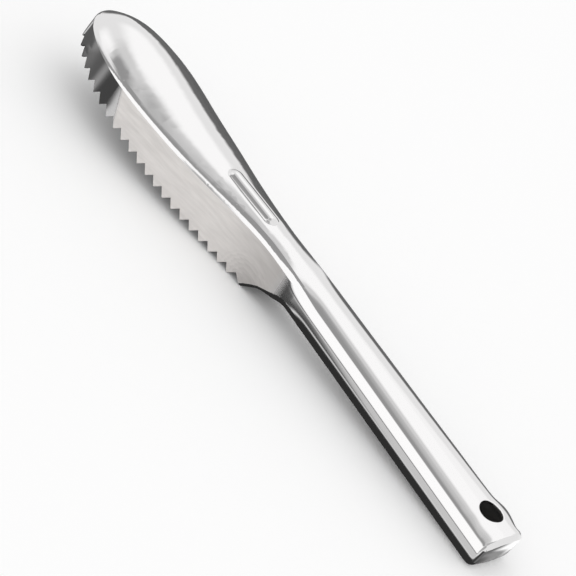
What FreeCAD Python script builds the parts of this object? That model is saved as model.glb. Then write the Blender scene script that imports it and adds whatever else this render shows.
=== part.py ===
import FreeCAD, Part
import math
import os
from FreeCAD import Vector

# Fish scaler pressed from one steel sheet: a domed head with a toothed skirt that runs
# into a hollow handle. Millimetres. While it is built, X runs from the nose to the handle
# end, Y across, Z up, with the middle of the tooth row at Z = 0. At the end the part is
# laid down the way it rests, on its last teeth and the end of the handle.

# Overall
overall_length = 229.0
sheet = 1.0

# Plan shape: half widths at distances from the nose
nose_length = 31.4
head_half_width = 16.55
head_taper = [(50.0, 15.0), (65.0, 13.1), (80.0, 10.5), (92.0, 8.6)]
neck_x = 104.0
neck_half_width = 7.5
handle_x = 124.0
handle_half_width = 7.95
end_half_width = 9.8
end_bulge = 0.8
end_corner_radius = 2.6
end_margin = 1.7

# Shoulder line, where the side would meet the crown if the bend were sharp
shoulder_line = [(0.0, 12.9), (33.0, 15.2), (50.0, 16.0), (65.0, 17.2), (80.0, 18.8), (92.0, 20.3),
                 (110.0, 22.1)]
handle_shoulder = (22.75, 27.6)
# Radius of the crown across the part
crown_line = [(0.0, 12.0), (10.0, 17.0), (33.0, 31.3), (65.0, 38.0), (90.0, 28.0), (110.0, 21.5)]
handle_crown = (18.5, 13.5)
shoulder_bend = 2.4

# Underside of the handle, where the two edges of the sheet curl in to an open seam
handle_bottom_height = 11.3
end_bottom_height = 17.1
lower_bend = 3.5
lower_bend_start = 1.2
seam_width = 4.0
seam_start_x = 130.0
seam_end_margin = 8.0
throat_lip = 0.4

# Teeth
teeth_per_side = 23
teeth_beside_nose = 3
tooth_pitch = 4.76
tooth_depth = 2.85
tip_flat = 0.25
last_regular_tip_x = 100.4
last_tooth_x = 106.7
row_line = [(0.0, 4.8), (40.0, 1.3), (82.0, -0.45), (last_tooth_x, 1.8)]
heel = (111.3, 6.5)
heel_slope = 0.85
heel_bulge = (0.2, 0.5)
heel_knee = 1.2
knee_drop = 6.0

# Raised bead on the neck
bead_start_x = 74.0
bead_end_x = 99.5
bead_width = 6.8
bead_rise = 1.3
bead_foot_radius = 0.8

# Hanging hole
hole_diameter = 8.6
hole_from_end = 11.1
hole_flat_length = 13.0
hole_flat_radius = 22.0
hole_rim_radius = 0.3

hole_x = overall_length - hole_from_end
# Places along the part where the crown surface is drawn, closer where it turns quickly
crown_stations = [nose_length * part for part in (-0.05, 0, 0.05, 0.11, 0.19, 0.29, 0.41, 0.57, 0.8)]
crown_stations += [nose_length + (handle_x - nose_length) * step / 10 for step in range(11)]
crown_stations += [handle_x + (hole_x - handle_x) * part for part in (0.2, 0.4, 0.6, 0.8)]
crown_stations += [hole_x + hole_flat_length * part for part in (-0.6, -0.38, -0.13, 0.13, 0.38, 0.6)]
crown_stations.append(overall_length + end_margin)
# Longer than any height or width of the part, and a short way past an end of it
far = 60.0
beyond = 5.0


def curve_through(points, start_slope=None, end_slope=None):
    """Smooth curve through (x, value) points, drawn in the XY plane."""
    curve = Part.BSplineCurve()
    spots = [Vector(x, v, 0) for x, v in points]
    if start_slope is None:
        curve.interpolate(spots)
    else:
        first = Vector(1, start_slope, 0)
        last = Vector(1, end_slope, 0)
        curve.interpolate(Points=spots, InitialTangent=first, FinalTangent=last)
    return curve


def value_at(curve, x):
    """Value of a curve_through at x, run on in a straight line past its ends."""
    first, last = curve.FirstParameter, curve.LastParameter
    if x <= curve.value(first).x or x >= curve.value(last).x:
        u = first if x <= curve.value(first).x else last
        p = curve.value(u)
        t = curve.tangent(u)[0]
        return p.y + (x - p.x) * t.y / t.x
    upright = Part.LineSegment(Vector(x, -far, 0), Vector(x, far, 0))
    return curve.intersectCC(upright)[0].Y


handle_length = overall_length - handle_x
for part in (0, 0.2, 0.4, 0.6, 0.8, 1):
    x = handle_x + handle_length * part
    shoulder_line.append((x, handle_shoulder[0] + (handle_shoulder[1] - handle_shoulder[0]) * part))
    crown_line.append((x, handle_crown[0] + (handle_crown[1] - handle_crown[0]) * part))
handle_taper = (end_half_width - handle_half_width) / handle_length
side_points = [(nose_length, head_half_width)] + head_taper
side_points += [(neck_x, neck_half_width), (handle_x, handle_half_width)]
side_curve = curve_through(side_points, 0.0, handle_taper)
shoulder_curve = curve_through(shoulder_line)
crown_curve = curve_through(crown_line)
row_curve = curve_through(row_line)


def half_width_squared(x):
    """Square of the half width. It runs below zero ahead of the nose."""
    if x < nose_length:
        return head_half_width ** 2 * (1 - (1 - x / nose_length) ** 2)
    return value_at(side_curve, x) ** 2


def crown_radius(x):
    """Radius of the crown, flatter around the hanging hole."""
    radius = value_at(crown_curve, max(x, 0.0))
    away = (x - hole_x) / (hole_flat_length / 2)
    if abs(away) < 1:
        radius += (hole_flat_radius - radius) * math.cos(away * math.pi / 2) ** 2
    return radius


def ridge_height(x):
    """Height of the crown on the middle line."""
    radius = value_at(crown_curve, max(x, 0.0))
    rise = radius - math.sqrt(radius ** 2 - half_width_squared(x))
    return value_at(shoulder_curve, x) + rise


def plan_edges(inset):
    """Near side of the plan outline, nose to handle end, drawn inward by inset."""
    centre = Vector(nose_length, 0, 0)
    nose = Part.Ellipse(centre, nose_length - inset, head_half_width - inset)
    quarter = Part.Arc(nose, math.pi, 1.5 * math.pi).toShape()
    spots = [Vector(x, -(w - inset), 0) for x, w in side_points]
    side = Part.BSplineCurve()
    start = Vector(1, 0, 0)
    finish = Vector(1, -handle_taper, 0)
    side.interpolate(Points=spots, InitialTangent=start, FinalTangent=finish)
    corner = Vector(overall_length - end_bulge - inset, -(end_half_width - inset), 0)
    handle = Part.makeLine(spots[-1], corner)
    return [quarter, side.toShape(), handle]


def plan_prism(inset):
    """Upright solid of the whole plan outline, with rounded handle corners."""
    near = plan_edges(inset)
    off = [edge.mirror(Vector(0, 0, 0), Vector(0, 1, 0)) for edge in near]
    a = near[-1].Vertexes[-1].Point
    b = Vector(a.x, -a.y, 0)
    end = Part.Arc(a, Vector(overall_length - inset, 0, 0), b).toShape()
    wire = Part.Wire(Part.__sortEdges__(near + off + [end]))
    prism = Part.Face(wire).extrude(Vector(0, 0, far))
    prism.translate(Vector(0, 0, -far / 3))
    corners = []
    for edge in prism.Edges:
        p, q = edge.Vertexes[0].Point, edge.Vertexes[-1].Point
        if abs(p.x - a.x) < 0.01 and abs(q.x - a.x) < 0.01 and abs(p.z - q.z) > far / 2:
            corners.append(edge)
    return prism.makeFillet(end_corner_radius - inset / 2, corners)


def crown_block(lift):
    """Everything under the crown surface, which is moved by lift."""
    past_wall = 0.9
    least = 3.0
    rows = []
    for x in crown_stations:
        radius = crown_radius(x) + lift
        top = ridge_height(x) + lift
        reach = math.sqrt(max(half_width_squared(x + 1.5), 0.0)) + past_wall
        reach = min(max(reach, least), 0.97 * radius)
        row = []
        for i in range(-6, 7):
            y = reach * math.sin(i * math.pi / 12)
            row.append(Vector(x, y, top - radius + math.sqrt(radius ** 2 - y ** 2)))
        rows.append(row)
    surface = Part.BSplineSurface()
    surface.interpolate(rows)
    return surface.toShape().extrude(Vector(0, 0, -2 * far))


def underside(lift, open_head):
    """Block below the lower outline. The head is left open for the hollow inside."""
    rise = (end_bottom_height - handle_bottom_height) / handle_length
    start = Vector(heel[0], 0, heel[1] + lift)
    settled = Vector(handle_x, 0, handle_bottom_height + lift)
    middle = (start + settled) * 0.5 + Vector(heel_bulge[0], 0, heel_bulge[1])
    entry = Vector(1, 0, heel_slope)
    bend = Part.BSplineCurve()
    bend.interpolate(Points=[start, middle, settled], InitialTangent=entry,
                     FinalTangent=Vector(1, 0, rise))
    past = overall_length + beyond
    handle_end = Vector(past, 0, settled.z + rise * (past - handle_x))
    edges = [bend.toShape(), Part.makeLine(settled, handle_end)]
    corners = [handle_end, Vector(past, 0, -far / 2)]
    if open_head:
        knee = start - entry * heel_knee
        steep = Vector(-1, 0, -knee_drop)
        foot = knee + steep * 0.4
        drop = Part.BezierCurve()
        drop.setPoles([start, knee, foot])
        edges.append(drop.toShape())
        corners += [knee + steep * knee_drop, foot]
    else:
        row = row_curve.toShape()
        row.rotate(Vector(0, 0, 0), Vector(1, 0, 0), 90)
        nose, last = row.valueAt(row.FirstParameter), row.valueAt(row.LastParameter)
        ahead = nose - Vector(beyond, 0, 0)
        edges += [Part.makeLine(last, start), row, Part.makeLine(ahead, nose)]
        corners += [Vector(ahead.x, 0, -far / 2), ahead]
    for a, b in zip(corners, corners[1:]):
        edges.append(Part.makeLine(a, b))
    face = Part.Face(Part.Wire(Part.__sortEdges__(edges)))
    face.translate(Vector(0, -far / 2, 0))
    return face.extrude(Vector(0, far, 0))


def crown_face(shape):
    """The large curved top face of a shape."""
    curved = [f for f in shape.Faces if isinstance(f.Surface, Part.BSplineSurface)]
    return max(curved, key=lambda f: f.Area)


def rounded(form, inset):
    """Form with its shoulder bend, and a lower bend that grows behind the heel."""
    full = lower_bend - inset
    begin = max(lower_bend_start - inset, 0.3)
    top = [edge.hashCode() for edge in crown_face(form).Edges]
    bends = []
    for number, edge in enumerate(form.Edges, 1):
        box = edge.BoundBox
        behind_heel = box.XMin > heel[0] - 0.5 and box.XMax < handle_x + 0.5
        if edge.hashCode() in top:
            bends.append((number, shoulder_bend - inset, shoulder_bend - inset))
        elif behind_heel and box.XLength > 5 and box.YLength < 2:
            heel_first = edge.Vertexes[0].X < edge.Vertexes[-1].X
            bends.append((number, begin, full) if heel_first else (number, full, begin))
    document = FreeCAD.newDocument("bends")
    base = document.addObject("Part::Feature", "form")
    base.Shape = form
    bent = document.addObject("Part::Fillet", "bent")
    bent.Base = base
    bent.Edges = bends
    document.recompute()
    shape = bent.Shape.copy()
    FreeCAD.closeDocument(document.Name)
    return shape


def with_bead(shape, inset):
    """Shape with the raised oblong bead on its neck, a sunk bar with round ends."""
    crown = 1 / value_at(crown_curve, (bead_start_x + bead_end_x) / 2)
    radius = 1 / (8 * bead_rise / bead_width ** 2 + crown) - inset
    reach = math.sqrt(2 * bead_rise * radius)
    ends = []
    for x in (bead_start_x + reach, bead_end_x - reach):
        ends.append(Vector(x, 0, ridge_height(x) + bead_rise - inset - radius))
    line = ends[1] - ends[0]
    bar = Part.makeCylinder(radius, line.Length, ends[0], line)
    bar.rotate(ends[0], line, 180)
    bar = bar.fuse([Part.makeSphere(radius, end) for end in ends])
    joined = shape.fuse(bar).Solids[0]
    foot = [edge for wire in crown_face(joined).Wires[1:] for edge in wire.Edges]
    return joined.makeFillet(bead_foot_radius, foot)


def solid_form(inset):
    """The form without its hollow, drawn inward by inset on every side."""
    form = plan_prism(inset).common(crown_block(-inset))
    form = form.cut(underside(inset, inset > 0)).Solids[0]
    return with_bead(rounded(form, inset), inset)


def throat():
    """Opening between the two curled edges, wide at the heel and narrow in the seam."""
    wide = math.sqrt(half_width_squared(heel[0])) - sheet - throat_lip
    narrow = seam_width / 2
    start = Vector(heel[0] - 3 * sheet, -wide, 0)
    curl = Vector(heel[0] + sheet, -wide, 0)
    seam = Vector(seam_start_x, -narrow, 0)
    stop = Vector(overall_length - seam_end_margin - narrow, -narrow, 0)
    level = Vector(1, 0, 0)
    taper = Part.BSplineCurve()
    taper.interpolate(Points=[curl, seam], InitialTangent=level, FinalTangent=level)
    near = [Part.makeLine(start, curl), taper.toShape(), Part.makeLine(seam, stop)]
    off = [edge.mirror(Vector(0, 0, 0), Vector(0, 1, 0)) for edge in near]
    tip = Vector(stop.x + narrow, 0, 0)
    round_end = Part.Arc(stop, tip, Vector(stop.x, narrow, 0)).toShape()
    mouth = Part.makeLine(start, Vector(start.x, wide, 0))
    face = Part.Face(Part.Wire(Part.__sortEdges__(near + off + [round_end, mouth])))
    face.translate(Vector(0, 0, -far / 4))
    return face.extrude(Vector(0, 0, far / 4 + end_bottom_height + 2 * sheet))


def wall_length(x):
    """Length along the near wall from the nose to the distance x."""
    nose, side = plan_edges(0.0)[:2]
    upright = Part.LineSegment(Vector(x, -far, 0), Vector(x, far, 0))
    spot = side.Curve.intersectCC(upright)[0]
    u = side.Curve.parameter(Vector(spot.X, spot.Y, 0))
    return nose.Length + side.Curve.length(side.FirstParameter, u)


def wall_spot(length):
    """Point and direction of the near wall at a length from the nose."""
    nose, side = plan_edges(0.0)[:2]
    edge, run = (nose, length) if length < nose.Length else (side, length - nose.Length)
    u = edge.getParameterByLength(run)
    return edge.valueAt(u), edge.tangentAt(u)


def gap_lengths():
    """Lengths along the wall of the gaps, nose to heel. The first teeth share what is left over."""
    last = wall_length(last_regular_tip_x) + tooth_pitch / 2
    even = teeth_per_side - teeth_beside_nose
    lengths = [last - k * tooth_pitch for k in range(even, -1, -1)]
    step = lengths[0] / teeth_beside_nose
    return [k * step for k in range(teeth_beside_nose)] + lengths


def gap(length, ahead, behind, drop):
    """Wedge that cuts one gap between two teeth, through the wall."""
    spot, along = wall_spot(length)
    inward = Vector(0, 0, 1).cross(along)
    point = spot + Vector(0, 0, value_at(row_curve, spot.x) + tooth_depth)
    past_tip = 1.3
    front = point + (Vector(0, 0, -tooth_depth) - along * ahead) * past_tip
    back = point + (Vector(0, 0, -drop) + along * behind) * past_tip
    wedge = Part.Face(Part.makePolygon([point, front, back, point]))
    wedge.translate(inward * -sheet)
    return wedge.extrude(inward * (3.5 * sheet))


def tooth_gaps():
    """All the gaps, cut square to the wall along both sides and round the nose."""
    half = (tooth_pitch - tip_flat) / 2
    lengths = gap_lengths()
    wedges = [gap(length, half, half, tooth_depth) for length in lengths[:-1]]
    last = lengths[-1]
    behind = wall_length(last_tooth_x) - last
    point = value_at(row_curve, wall_spot(last)[0].x) + tooth_depth
    wedges.append(gap(last, half, behind, point - row_line[-1][1]))
    return wedges + [w.mirror(Vector(0, 0, 0), Vector(0, 1, 0)) for w in wedges[1:]]


def hanging_hole():
    """Cylinder for the hole, square to the top of the handle."""
    slope = (ridge_height(hole_x + 1) - ridge_height(hole_x - 1)) / 2
    axis = Vector(-slope, 0, 1)
    base = Vector(hole_x, 0, ridge_height(hole_x)) - axis * (3 * sheet)
    return Part.makeCylinder(hole_diameter / 2, 6 * sheet, base, axis)


def laid_down(shape):
    """Shape turned onto its last teeth and the bend at the end of the handle."""
    run = overall_length - lower_bend - last_tooth_x
    rise = end_bottom_height + lower_bend - row_line[-1][1]
    lean = math.atan2(rise, run) - math.asin(lower_bend / math.hypot(rise, run))
    shape.rotate(Vector(0, 0, 0), Vector(0, 1, 0), math.degrees(lean))
    box = shape.optimalBoundingBox()
    shape.translate(Vector(-box.Center.x, -box.Center.y, -box.ZMin))
    return shape


def eased_rim(shell):
    """Shell with the upper rim of the hanging hole slightly rounded."""
    wires = [wire for wire in crown_face(shell).Wires if wire.BoundBox.XMin > handle_x]
    return shell.makeFillet(hole_rim_radius, [edge for wire in wires for edge in wire.Edges])


def scaler():
    """The whole fish scaler."""
    shell = solid_form(0.0).cut(solid_form(sheet))
    shell = shell.cut([throat(), hanging_hole()] + tooth_gaps()).Solids[0]
    return laid_down(eased_rim(shell)).Solids[0]


os.makedirs("parts", exist_ok=True)
scaler().exportStep("parts/scaler.step")
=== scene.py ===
import math

import bpy
from mathutils import Matrix, Vector

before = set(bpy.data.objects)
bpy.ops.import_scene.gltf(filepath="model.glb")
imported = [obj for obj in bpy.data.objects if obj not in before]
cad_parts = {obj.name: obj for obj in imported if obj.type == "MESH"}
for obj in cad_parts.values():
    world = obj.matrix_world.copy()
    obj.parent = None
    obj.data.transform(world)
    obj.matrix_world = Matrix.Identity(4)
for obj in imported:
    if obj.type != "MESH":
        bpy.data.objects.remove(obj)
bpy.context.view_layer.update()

MM = 0.001

# Where the shading changes. Millimetres along X from the middle of the tool: from, to
HEAD, HEAD_FADE = (-104.0, 0.0), 8.0    # tight side bends
BEAD, BEAD_FADE = (-41.0, -14.0), 2.0   # pressed bead at the neck, which keeps its own shape
BEAD_SIDE = (4.6, 3.2)                  # its foot and its flank, from the middle line
CURL_GROWS = (-45.0, -75.0)             # the crown's far edge curls down most at the front
CURL_FADES = (5.0, -40.0)
HANDLE_STARTS = (2.0, 20.0)             # wide bends of the handle
END_WALL = (100.0, 110.0)
GROUND_FRONT = (-75.5, -74.0)           # ground finish of the side walls, on a slanting line
GROUND_HEEL = (6.0, -1.0)
# painted shade on the ground sides grows over this stretch towards the heel
HEEL_DARKENS = (-32.0, 3.0)

# Head: degrees that the surface looks up where the crown meets the side bend
CROWN_STARTS, CROWN_LENGTH = -12.0, 93.0    # mm, from the neck towards the nose
EDGE_AT_NECK, EDGE_AT_NOSE = 75.5, 46.0
BEND_ENDS = 60.0                        # what the tight bend turns; the crown has the rest of 90

# End wall: height of its middle, mm, and degrees that each millimetre above it looks up
END_MIDDLE, END_DOME = 7.8, 2.3

# Handle: half width and crest height in mm, as a slope along X and the value at the middle of the tool
HALF_WIDTH = (0.0177, 7.78)
CREST = (-0.0613, 21.1)
CREST_LEAN = (0.075, -0.02)             # lean towards the handle's end, from how far it looks up
# Place along its section, about 3 to the millimetre and 0 at the upper corner: steps for each
# millimetre in from the side, up to the crest, and along X from where the section was drawn
STEP_IN, STEP_UP, STEP_ALONG, DRAWN_AT = 1.911, 2.413, 0.035, 62.0
# (place, degrees that the surface there looks up), from the wall to the level top
SECTION = [(-30, -14), (-25, -9), (-23, -6.5), (-21.5, -4), (-20, -2), (-17, -0.5), (-15, 4), (-14, 8),
           (-9, 36), (-4.5, 54), (-3, 58), (0, 62), (2, 65), (5, 71), (9, 79), (13, 85), (17, 90),
           (20, 90)]
SECTION_START, SECTION_LENGTH = -30.0, 50.0     # what 0 to 1 on the drawn curve stands for
ANGLE_START, ANGLE_RANGE = -14.0, 105.0
HOLE_WALL = (75.0, 55.0)                # a change of more degrees than this is the hanging hole's wall
LOOKS_ENDWARD = (0.75, 0.35)            # and a surface that leans further than this is the end wall

# Marks in the finish, mm. Lines from real grit are about 0.1 mm wide, too fine to show in the picture,
# so they are drawn coarser: 11 to 100 mm along and 7 to 10 mm across
GRIT_LENGTH, GRIT_WIDTH = 100 / 11, 10 / 7
GRIT_SLANT = 0.6                        # radians, about the tool's width
GRIT_CONTRAST = 0.9
# Curved marks of the wheel round the heel: how far they waver with the grit, and fade in and out
WHEEL_MIDDLE, WHEEL_STEP, WHEEL_WAVER = (-9.0, 0.0, 1.0), 1.5, 3.0
WHEEL_INNER, WHEEL_OUTER = (3.0, 5.5), (15.5, 10.5)
WHEEL_CONTRAST = 0.11
# The press drags fine lines along the inside, drawn coarser too: 9 to 100 mm and 7 to 10 mm
DRAG_LENGTH, DRAG_WIDTH = 100 / 9, 10 / 7

# Middle of the hollow under the sheet, mm: (X, Z) from the nose to the handle's end
HOLLOW = [(-100, 21.9), (-64.5, 19.5), (-10, 16.5), (9.5, 14.0), (100, 8.0)]

POLISH_MIRRORS = 0.79                   # share of the light that the polished steel gives back

# Settings for Math nodes, which add without one, for Map Range nodes and for Mix nodes
TIMES = {"operation": "MULTIPLY"}
MINUS = {"operation": "SUBTRACT"}
OVER = {"operation": "DIVIDE"}
POWER = {"operation": "POWER"}
LINE = {"operation": "MULTIPLY_ADD"}    # first input times the second, plus the third
LARGER = {"operation": "MAXIMUM"}
UNSIGNED = {"operation": "ABSOLUTE"}
SMOOTH = {"interpolation_type": "SMOOTHSTEP"}
COLOURS = {"data_type": "RGBA"}


# Helpers

def srgb(code):
    """Linear colour for an sRGB hex code such as "c8c6c2"."""
    parts = [int(code[i:i + 2], 16) / 255 for i in (0, 2, 4)]
    return [c / 12.92 if c <= 0.04045 else ((c + 0.055) / 1.055) ** 2.4 for c in parts] + [1.0]


def add(tree, kind, inputs=(), **settings):
    """One shader node: its settings, then its inputs as values or links, in order or by name.

    A node given as an input stands for its first output.
    """
    node = tree.nodes.new("ShaderNode" + kind)
    for name, value in settings.items():
        setattr(node, name, value)
    for key, value in (inputs.items() if isinstance(inputs, dict) else enumerate(inputs)):
        if isinstance(value, bpy.types.Node):
            value = value.outputs[0]
        if isinstance(value, bpy.types.NodeSocket):
            tree.links.new(value, node.inputs[key])
        else:
            node.inputs[key].default_value = value
    return node


def band(tree, value, low, high, soft):
    """Mask that is 1 between low and high, fading over soft on both sides of each."""
    rise = add(tree, "MapRange", (value, low - soft, low + soft), **SMOOTH)
    fall = add(tree, "MapRange", (value, high + soft, high - soft), **SMOOTH)
    return add(tree, "Math", (rise, fall), **TIMES)


def new_material(name):
    """An empty material and its node tree."""
    made = bpy.data.materials.new(name)
    made.use_nodes = True
    made.node_tree.nodes.clear()
    return made, made.node_tree


# Steel

def head_turn(tree, x, y, rise, far):
    """Degrees by which the head's shading turns up: tight side bends and a rounder crown."""
    back = add(tree, "Math", (x, -1 / CROWN_LENGTH, CROWN_STARTS / CROWN_LENGTH), **LINE)
    back = add(tree, "Math", (back, 0.0), **LARGER)
    back = add(tree, "Math", (back, 2.4), **POWER)      # changes mostly near the nose
    edge = add(tree, "Math", (back, EDGE_AT_NOSE - EDGE_AT_NECK, EDGE_AT_NECK), **LINE)

    left_over = add(tree, "MapRange", (rise, 0.0, edge, 1.0, 0.0))
    left_over = add(tree, "Math", (left_over, 3.0), **POWER)        # turns early in the bend
    bend = add(tree, "Math", (left_over, -BEND_ENDS, BEND_ENDS), **LINE)
    above = add(tree, "Math", (add(tree, "Math", (rise, edge), **MINUS), 0.0), **LARGER)
    rounder = add(tree, "Math", (90.0 - BEND_ENDS, add(tree, "Math", (90.0, edge), **MINUS)), **OVER)
    wanted = add(tree, "Math", (above, rounder, bend), **LINE)
    more = add(tree, "Math", (wanted, add(tree, "Math", (rise, 0.0), **LARGER)), **MINUS)

    aside = add(tree, "Math", (y,), **UNSIGNED)
    on_bead = add(tree, "Math", (add(tree, "MapRange", (aside, *BEAD_SIDE), **SMOOTH),
                                 band(tree, x, *BEAD, BEAD_FADE)), **TIMES)
    more = add(tree, "Math", (more, add(tree, "Math", (1.0, on_bead), **MINUS)), **TIMES)
    more = add(tree, "Math", (more, band(tree, x, *HEAD, HEAD_FADE)), **TIMES)

    # The far edge curls down, by 3 degrees at the neck and 10 at the front
    curl = add(tree, "Math", (add(tree, "MapRange", (far, 0.06, 0.20), **SMOOTH),
                              add(tree, "MapRange", (x, *CURL_GROWS, 3.0, 10.0), **SMOOTH)), **TIMES)
    curl = add(tree, "Math", (curl, add(tree, "MapRange", (x, *CURL_FADES), **SMOOTH)), **TIMES)
    return add(tree, "Math", (more, curl), **MINUS)


def handle_turn(tree, x, y, z, rise, forward):
    """Degrees by which the handle's shading turns up, and the mask of where it does."""
    half_width = add(tree, "Math", (x, *HALF_WIDTH), **LINE)
    from_side = add(tree, "Math", (half_width, add(tree, "Math", (y,), **UNSIGNED)), **MINUS)
    from_crest = add(tree, "Math", (z, add(tree, "Math", (x, *CREST), **LINE)), **MINUS)
    place = add(tree, "Math", (x, STEP_ALONG, -DRAWN_AT * STEP_ALONG), **LINE)
    place = add(tree, "Math", (from_side, STEP_IN, place), **LINE)
    place = add(tree, "Math", (from_crest, STEP_UP, place), **LINE)

    place = add(tree, "Math", (place, 1 / SECTION_LENGTH, -SECTION_START / SECTION_LENGTH), **LINE)
    section = add(tree, "FloatCurve", {"Value": place})
    drawn = [((at - SECTION_START) / SECTION_LENGTH, (angle - ANGLE_START) / ANGLE_RANGE)
             for at, angle in SECTION]
    points = section.mapping.curves[0].points
    points[0].location, points[1].location = drawn[0], drawn[-1]
    for spot in drawn[1:-1]:
        points.new(*spot)
    for point in points:
        point.handle_type = "AUTO_CLAMPED"
    section.mapping.update()
    wanted = add(tree, "Math", (section, ANGLE_RANGE, ANGLE_START), **LINE)

    # The wall of the hanging hole, the neck and the end wall are left as they are
    change = add(tree, "Math", (wanted, rise), **MINUS)
    here = add(tree, "Math", (change,), **UNSIGNED)
    here = add(tree, "MapRange", (here, *HOLE_WALL), **SMOOTH)
    here = add(tree, "Math", (here, add(tree, "MapRange", (x, *HANDLE_STARTS), **SMOOTH)), **TIMES)
    here = add(tree, "Math", (here, add(tree, "MapRange", (forward, *LOOKS_ENDWARD), **SMOOTH)), **TIMES)
    return add(tree, "Math", (change, here), **TIMES), here


def rounded(tree, facing, x, y, z):
    """Surface normal with the bends drawn as the press leaves them.

    On the head the side bends are tight and the crown curls down at its far edge; along the handle they
    open to about 4 mm and the walls bulge a little. The sheet keeps its shape, only the shading turns.
    """
    turn = add(tree, "SeparateXYZ", (facing,)).outputs
    level = add(tree, "CombineXYZ", (turn["X"], turn["Y"], 0.0))
    level = add(tree, "VectorMath", (level,), operation="LENGTH").outputs["Value"]
    level = add(tree, "Math", (level, 0.001), **LARGER)
    rise = add(tree, "Math", (turn["Z"], level), operation="ARCTAN2")
    rise = add(tree, "Math", (rise,), operation="DEGREES")

    angle = add(tree, "Math", (rise, head_turn(tree, x, y, rise, turn["Y"])))
    handle, on_handle = handle_turn(tree, x, y, z, rise, turn["X"])
    angle = add(tree, "Math", (angle, handle))
    dome = add(tree, "Math", (z, END_DOME, -END_MIDDLE * END_DOME), **LINE)
    dome = add(tree, "Math", (dome, add(tree, "MapRange", (turn["X"], 0.85, 0.95), **SMOOTH)), **TIMES)
    dome = add(tree, "Math", (dome, add(tree, "MapRange", (x, *END_WALL), **SMOOTH)), **TIMES)
    angle = add(tree, "Math", (angle, dome))
    angle = add(tree, "Math", (angle,), operation="RADIANS")

    up = add(tree, "Math", (angle,), operation="SINE")
    outward = add(tree, "Math", (add(tree, "Math", (angle,), operation="COSINE"), level), **OVER)
    forward = add(tree, "Math", (turn["X"], outward), **TIMES)
    lean = add(tree, "Math", (up, *CREST_LEAN), **LINE)
    forward = add(tree, "Mix", {0: on_handle, 2: forward, 3: lean})
    return add(tree, "CombineXYZ", (forward, add(tree, "Math", (turn["Y"], outward), **TIMES), up))


def stainless():
    """Polished stainless sheet, with a ground finish on the sides of the head.

    The polish mirrors the studio; the ground sides scatter it and stay an even, warm light grey with
    faint marks of the grinding wheel, curved around the heel, and painted shade that darkens them
    towards the heel.
    """
    made, tree = new_material("polished_stainless")
    spot = add(tree, "TexCoord").outputs["Object"]
    place = add(tree, "SeparateXYZ", (spot,)).outputs
    x, y, z = (add(tree, "Math", (place[name], MM), **OVER) for name in "XYZ")
    facing = add(tree, "NewGeometry").outputs["Normal"]
    turn = add(tree, "SeparateXYZ", (facing,)).outputs

    # Ground finish: on the upright side walls, from behind the nose to the heel
    upright = band(tree, turn["Z"], -0.05, 0.05, 0.02)
    sideways = add(tree, "Math", (turn["Y"],), **UNSIGNED)
    sideways = add(tree, "MapRange", (sideways, 0.95, 0.975), **SMOOTH)
    slanted = add(tree, "Math", (z, 0.3, x), **LINE)
    along = add(tree, "Math", (add(tree, "MapRange", (slanted, *GROUND_FRONT), **SMOOTH),
                               add(tree, "MapRange", (x, *GROUND_HEEL), **SMOOTH)), **TIMES)
    ground = add(tree, "Math", (add(tree, "Math", (upright, sideways), **TIMES), along), **TIMES)

    # Straight marks of the grit, and curved ones round the heel that waver with them
    scale = (1 / (GRIT_LENGTH * MM), 1 / (GRIT_LENGTH * MM), 1 / (GRIT_WIDTH * MM))
    grit = add(tree, "Mapping", {"Vector": spot, "Rotation": (0, GRIT_SLANT, 0), "Scale": scale})
    marks = add(tree, "TexNoise", {"Vector": grit, "Scale": 1.0, "Detail": 3.0})
    from_wheel = add(tree, "VectorMath", (add(tree, "CombineXYZ", (x, 0.0, z)), WHEEL_MIDDLE),
                     operation="DISTANCE").outputs["Value"]
    radius = add(tree, "Math", (marks, WHEEL_WAVER, from_wheel), **LINE)
    wave = add(tree, "Math", (radius, 2 * math.pi / WHEEL_STEP), **TIMES)
    wave = add(tree, "Math", (wave,), operation="SINE")
    near = add(tree, "Math", (add(tree, "MapRange", (radius, *WHEEL_OUTER), **SMOOTH),
                              add(tree, "MapRange", (radius, *WHEEL_INNER), **SMOOTH)), **TIMES)
    rings = add(tree, "Math", (wave, near), **TIMES)
    shade = add(tree, "Math", (marks, GRIT_CONTRAST, (1.0 - GRIT_CONTRAST) / 2), **LINE)
    shade = add(tree, "Math", (rings, WHEEL_CONTRAST, shade), **LINE)
    ground_marks_and_heel_shade = add(tree, "Mix", {0: shade, 6: srgb("d2cecb"), 7: srgb("f8f4f1")}, **COLOURS).outputs[2]

    # Painted shade: the heel is darker, and darkest round the middle of the curved marks
    heel = add(tree, "Math", (add(tree, "MapRange", (x, *HEEL_DARKENS, 0.0, 0.5), **SMOOTH),
                              add(tree, "MapRange", (radius, 12.5, 2.5, 0.0, 0.2), **SMOOTH)))
    ground_marks_and_heel_shade = add(tree, "Mix", {0: heel, 6: ground_marks_and_heel_shade, 7: srgb("7d7977")}, **COLOURS).outputs[2]

    colour = add(tree, "Mix", {0: ground, 6: srgb("e6e5e5"), 7: ground_marks_and_heel_shade}, **COLOURS).outputs[2]
    shader = add(tree, "BsdfPrincipled", {
        "Base Color": colour,
        "Metallic": add(tree, "Mix", {0: ground, 2: 1.0, 3: 0.25}),
        "Roughness": add(tree, "Mix", {0: ground, 2: 0.07, 3: 0.5}),
        "Normal": rounded(tree, facing, x, y, z)})
    add(tree, "OutputMaterial", {"Surface": shader})
    return made


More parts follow.
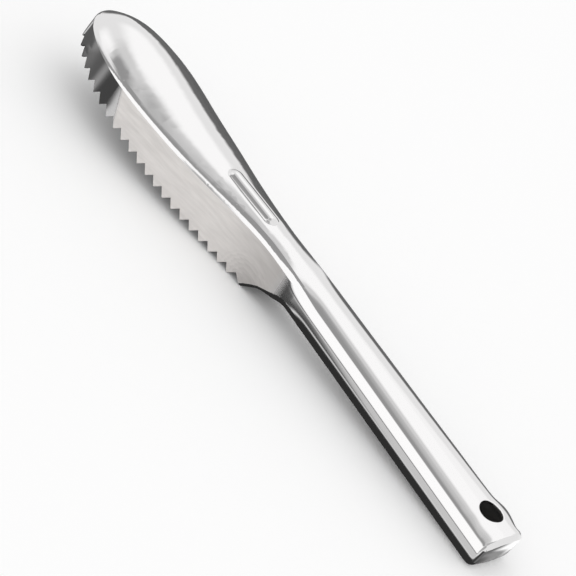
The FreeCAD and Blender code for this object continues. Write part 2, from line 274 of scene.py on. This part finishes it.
def dull_inside_painted_shade():
    """The same sheet as it leaves the press, never polished inside: dull and slightly rough, and dark
    with painted shade for the hollow.
    """
    made, tree = new_material("pressed_stainless_painted_shade")
    spot = add(tree, "TexCoord").outputs["Object"]
    scale = (1 / (DRAG_LENGTH * MM), 1 / (DRAG_WIDTH * MM), 1 / (DRAG_WIDTH * MM))
    drag = add(tree, "Mapping", {"Vector": spot, "Scale": scale})
    marks = add(tree, "TexNoise", {"Vector": drag, "Scale": 1.0, "Detail": 2.0})
    # Dark colour: painted shade inside the hollow, over the real drag marks of the press
    colour = add(tree, "Mix", {0: marks, 6: srgb("6c6a68"), 7: srgb("7c7a78")}, **COLOURS).outputs[2]
    shader = add(tree, "BsdfPrincipled", {"Base Color": colour, "Metallic": 0.8, "Roughness": 0.55})
    add(tree, "OutputMaterial", {"Surface": shader})
    return made


def faces_inward(face):
    """Whether a face of the sheet looks towards the middle of the hollow."""
    x = min(max(face.center.x / MM, HOLLOW[0][0]), HOLLOW[-1][0])
    for (x0, z0), (x1, z1) in zip(HOLLOW, HOLLOW[1:]):
        if x <= x1:
            break
    middle = Vector((x, 0, z0 + (z1 - z0) * (x - x0) / (x1 - x0))) * MM
    return (face.center - middle).normalized().dot(face.normal) < -0.3


# Studio

def strength_of(grey):
    """Strength of a light that polished steel shows as this sRGB grey, 0 to 255."""
    return srgb(f"{grey:02x}" * 3)[0] / POLISH_MIRRORS


# What the steel mirrors, by direction. Turn runs from the front (-Y) over the nose side (-X) to the
# back (+Y) in degrees, height is above the horizon. Later panels lie over earlier ones, and around
# them is REST_OF_STUDIO.
# (grey, turn from, to, softness, height from, to, softness)
SOFT_LIGHT = 0.98                               # strength, for matt surfaces
REST_OF_STUDIO = 225
PANELS = [
    (170, -400, 400, 1, 76, 100, 6),            # ceiling
    (205, 85, 130, 12, 58, 76, 6),              # light grey, high, past the nose side
    (248, 128, 179, 12, 34, 71, 6),             # white, behind the tool
    (248, 84, 100, 8, 38, 60, 8),               # white, on the nose side
    (150, 33, 64, 7, -24, 70, 7),               # grey, between the front and the nose side
    (165, -60, 12, 4, -20, 72, 7),              # grey, towards the handle's end
    (145, 28, 95, 12, 60, 74, 4),               # grey, high, from the front to the nose side
    (252, 10, 40, 2.5, -24, 58, 3),             # tall lamp that draws the white strip
    (195, -20, 62, 3, -41, -31, 1.5),           # what the handle's side wall mirrors
    (95, -20, 62, 3, -30.5, -27, 1.2),          # thin dark line above that
    (98, 118, 168, 3, -70, 3, 5),               # dark: far edge of head and handle
    (85, 41, 118, 3, -40, -20, 4),              # dark: skirt round the nose
    (65, 30.8, 43, 0.8, -40, -22, 2),           # darker: its near side
    (165, 46, 51, 2, -36, -26, 3),              # light bits in the skirt
    (190, 112, 122, 2, -33, -24, 3),
    (140, -185, -60, 5, -46, -34, 3),           # grey: the handle's end wall, in two panels
    (140, 168, 185, 4, -46, -34, 3),
    (252, -185, -153, 3, -38.6, -25, 1),        # highlight on it, in two panels
    (252, 172, 185, 4, -38.6, -25, 1),
    (85, -151, -124, 8, -50, -30, 3),           # dark patch on it
    (45, -400, 400, 1, -100, -43, 2),           # dark, below: lower bends
    (105, -157, -100, 8, -52, -32, 3),          # corner of the end wall
]


def studio():
    """White around the camera, soft white light for matt surfaces, and the panels in the steel."""
    world = bpy.data.worlds.new("studio")
    bpy.context.scene.world = world
    world.use_nodes = True
    tree = world.node_tree
    tree.nodes.clear()
    way = add(tree, "SeparateXYZ", (add(tree, "TexCoord").outputs["Generated"],)).outputs
    left = add(tree, "Math", (way["X"], -1.0), **TIMES)
    front = add(tree, "Math", (way["Y"], -1.0), **TIMES)
    turn = add(tree, "Math", (left, front), operation="ARCTAN2")
    turn = add(tree, "Math", (turn,), operation="DEGREES")
    height = add(tree, "Math", (way["Z"],), operation="ARCSINE")
    height = add(tree, "Math", (height,), operation="DEGREES")
    light = strength_of(REST_OF_STUDIO)
    for grey, turn_from, turn_to, turn_soft, low, high, soft in PANELS:
        panel = add(tree, "Math", (band(tree, turn, turn_from, turn_to, turn_soft),
                                   band(tree, height, low, high, soft)), **TIMES)
        light = add(tree, "Mix", {0: panel, 2: light, 3: strength_of(grey)})
    path = add(tree, "LightPath").outputs
    strength = add(tree, "Mix", {0: path["Is Glossy Ray"], 2: SOFT_LIGHT, 3: light})
    strength = add(tree, "Mix", {0: path["Is Camera Ray"], 2: strength, 3: 1.0})
    sky = add(tree, "Background", {"Color": (1, 1, 1, 1), "Strength": strength})
    add(tree, "OutputWorld", {"Surface": sky})


def white_floor():
    """Large white paper sheet under the tool, left out of the reflections."""
    bpy.ops.mesh.primitive_plane_add(size=6)
    floor = bpy.context.object
    floor.name = "floor"
    made, tree = new_material("white_paper")
    shader = add(tree, "BsdfPrincipled", {"Base Color": srgb("ffffff"), "Roughness": 0.9})
    add(tree, "OutputMaterial", {"Surface": shader})
    floor.data.materials.append(made)
    floor.visible_glossy = False


def camera():
    """Camera of the photograph, from above the handle end and the near side."""
    right = Vector((0.584393, 0.667067, 0.462067))
    down = Vector((0.702862, -0.131524, -0.699061))
    ahead = Vector((-0.405548, 0.733296, -0.545718))
    place = Vector((429.518, -773.847, 585.221)) * MM
    focus_in_pixels, picture_width = 3300.895, 576
    data = bpy.data.cameras.new("camera")
    data.sensor_width = 36.0
    data.lens = focus_in_pixels / picture_width * data.sensor_width
    data.clip_end = 20.0
    made = bpy.data.objects.new("camera", data)
    bpy.context.scene.collection.objects.link(made)
    turned = Matrix((right, -down, -ahead)).transposed().to_4x4()
    made.matrix_world = Matrix.Translation(place) @ turned
    bpy.context.scene.camera = made


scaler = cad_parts["scaler"]
scaler.data.materials.clear()
scaler.data.materials.append(stainless())
scaler.data.materials.append(dull_inside_painted_shade())
for face in scaler.data.polygons:
    face.material_index = 1 if faces_inward(face) else 0
studio()
white_floor()
camera()
bpy.context.scene.view_settings.view_transform = "Standard"
